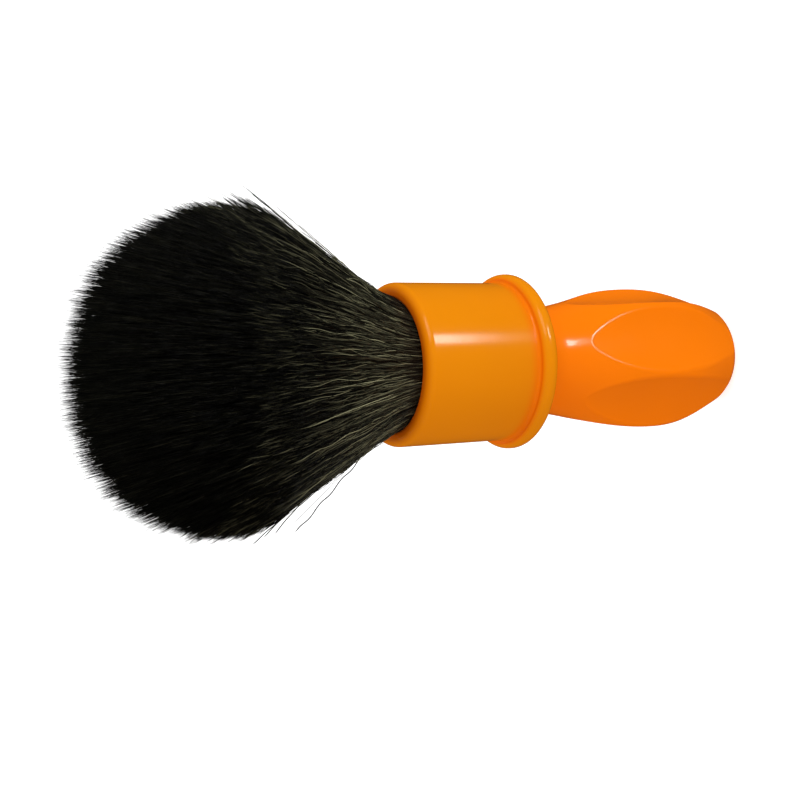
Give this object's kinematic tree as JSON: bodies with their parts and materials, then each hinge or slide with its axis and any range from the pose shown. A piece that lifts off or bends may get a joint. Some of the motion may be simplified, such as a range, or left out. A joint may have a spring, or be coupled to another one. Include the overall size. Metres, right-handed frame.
{
  "type": "neck duster brush",
  "caption": "Barber's neck duster: full domed bristle tuft in a flanged round cup, on a fluted bulb grip with a flat base.",
  "frame": {"origin": "centre of the flat base", "axes": "+Z along the brush's axis from the base to the bristle tips; one flute of the grip faces +X"},
  "size_m": [0.0666, 0.0666, 0.15],
  "materials": {
    "grip_plastic": "glossy moulded orange",
    "cup_plastic": "glossy moulded orange, a little yellower than the grip",
    "bristle": "fine black synthetic filament, tapered at the tips",
    "resin": "clear amber casting resin",
    "ring_plastic": "matt black moulding",
    "cord": "plain waxed twine",
    "steel": "turned and zinc plated",
    "brass": "knurled"
  },
  "bodies": {
    "root": {"grip_body": "grip_plastic", "base_plug": "grip_plastic", "balance_weight": "steel", "ferrule_cup": "cup_plastic", "threaded_insert": "brass", "joining_screw": "steel", "screw_washer": "steel", "knot_adhesive": "resin", "knot_ring": "ring_plastic", "knot_resin": "resin", "binding_cord": "cord", "bristle_tuft": "bristle"}
  },
  "joints": []
}
